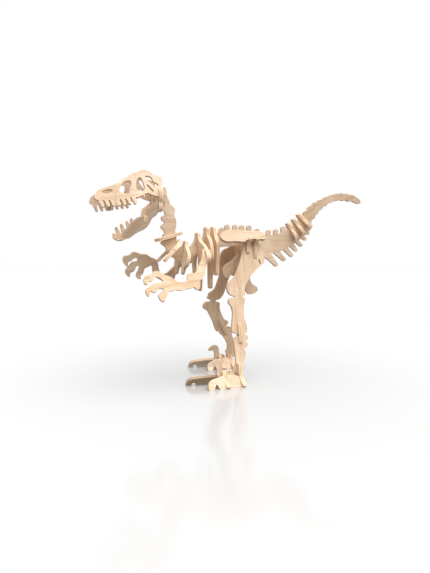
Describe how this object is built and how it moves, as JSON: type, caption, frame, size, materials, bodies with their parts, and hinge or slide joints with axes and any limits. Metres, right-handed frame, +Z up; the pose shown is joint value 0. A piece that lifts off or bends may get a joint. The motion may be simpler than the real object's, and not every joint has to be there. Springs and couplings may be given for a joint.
{
  "type": "wooden 3d jigsaw model",
  "caption": "Slot-together plywood skeleton of a small two-legged dinosaur: flat plates cross-lapped into spine, ribs, limbs, skull and tail, standing on its own feet.",
  "frame": {"origin": "middle of the bounding box in x and y, on the floor plane under the toe plates", "axes": "the model faces -X, its tail is towards +X, its left side is -Y, and +Z is up"},
  "size_m": [0.2896, 0.1018, 0.1947],
  "materials": {
    "plywood": "raw sanded birch-like plywood"
  },
  "bodies": {
    "base": {"spine": "plywood", "ilium_left": "plywood", "ilium_right": "plywood", "hip_bridge_front": "plywood", "hip_bridge_rear": "plywood", "pubis": "plywood", "leg_left": "plywood", "leg_right": "plywood", "hock_left": "plywood", "hock_right": "plywood", "toe_left_outer": "plywood", "toe_left_inner": "plywood", "toe_right_outer": "plywood", "toe_right_inner": "plywood", "claw_left": "plywood", "claw_right": "plywood", "foot_bridge_left_front": "plywood", "foot_bridge_left_rear": "plywood", "foot_bridge_right_front": "plywood", "foot_bridge_right_rear": "plywood"},
    "head": {"skull_left": "plywood", "skull_right": "plywood", "jaw_left": "plywood", "jaw_right": "plywood", "skull_bridge_front": "plywood", "skull_bridge_rear": "plywood", "jaw_bridge": "plywood"},
    "neck_fork_upper": {"neck_fork_upper": "plywood"},
    "neck_fork_lower": {"neck_fork_lower": "plywood"},
    "rib_front": {"rib_front": "plywood"},
    "rib_middle": {"rib_middle": "plywood"},
    "rib_rear": {"rib_rear": "plywood"},
    "shoulder_girdle": {"shoulder_girdle": "plywood"},
    "arm_left": {"arm_left": "plywood"},
    "arm_right": {"arm_right": "plywood"},
    "tail_fork_1": {"tail_fork_1": "plywood"},
    "tail_fork_2": {"tail_fork_2": "plywood"},
    "tail_fork_3": {"tail_fork_3": "plywood"},
    "tail_tip": {"tail_tip": "plywood"}
  },
  "joints": [
    {"name": "head_lift", "type": "slide", "parent": "base", "child": "head", "axis": [0, 0, 1], "range_m": [0, 0.01]},
    {"name": "neck_fork_upper_lift", "type": "slide", "parent": "base", "child": "neck_fork_upper", "axis": [0.9613, 0, 0.2756], "range_m": [0, 0.006]},
    {"name": "neck_fork_lower_lift", "type": "slide", "parent": "base", "child": "neck_fork_lower", "axis": [0.7071, 0, 0.7071], "range_m": [0, 0.004]},
    {"name": "rib_front_lift", "type": "slide", "parent": "base", "child": "rib_front", "axis": [0.2079, 0, 0.9781], "range_m": [0, 0.006]},
    {"name": "shoulder_girdle_lift", "type": "slide", "parent": "base", "child": "shoulder_girdle", "axis": [0, 0, 1], "range_m": [0, 0.012]},
    {"name": "arm_left_drop", "type": "slide", "parent": "shoulder_girdle", "child": "arm_left", "axis": [0, -0.2504, -0.9681], "range_m": [0, 0.008]},
    {"name": "arm_right_drop", "type": "slide", "parent": "shoulder_girdle", "child": "arm_right", "axis": [0, 0.2504, -0.9681], "range_m": [0, 0.008]},
    {"name": "rib_middle_lift", "type": "slide", "parent": "base", "child": "rib_middle", "axis": [0.0349, 0, 0.9994], "range_m": [0, 0.012]},
    {"name": "rib_rear_lift", "type": "slide", "parent": "base", "child": "rib_rear", "axis": [0, 0, 1], "range_m": [0, 0.012]},
    {"name": "tail_fork_1_lift", "type": "slide", "parent": "base", "child": "tail_fork_1", "axis": [-0.4384, 0, 0.8988], "range_m": [0, 0.008]},
    {"name": "tail_fork_2_lift", "type": "slide", "parent": "base", "child": "tail_fork_2", "axis": [-0.5446, 0, 0.8387], "range_m": [0, 0.008]},
    {"name": "tail_fork_3_lift", "type": "slide", "parent": "base", "child": "tail_fork_3", "axis": [-0.6428, 0, 0.766], "range_m": [0, 0.008]},
    {"name": "tail_tip_pull", "type": "slide", "parent": "base", "child": "tail_tip", "axis": [0.7071, 0, 0.7071], "range_m": [0, 0.012]}
  ]
}
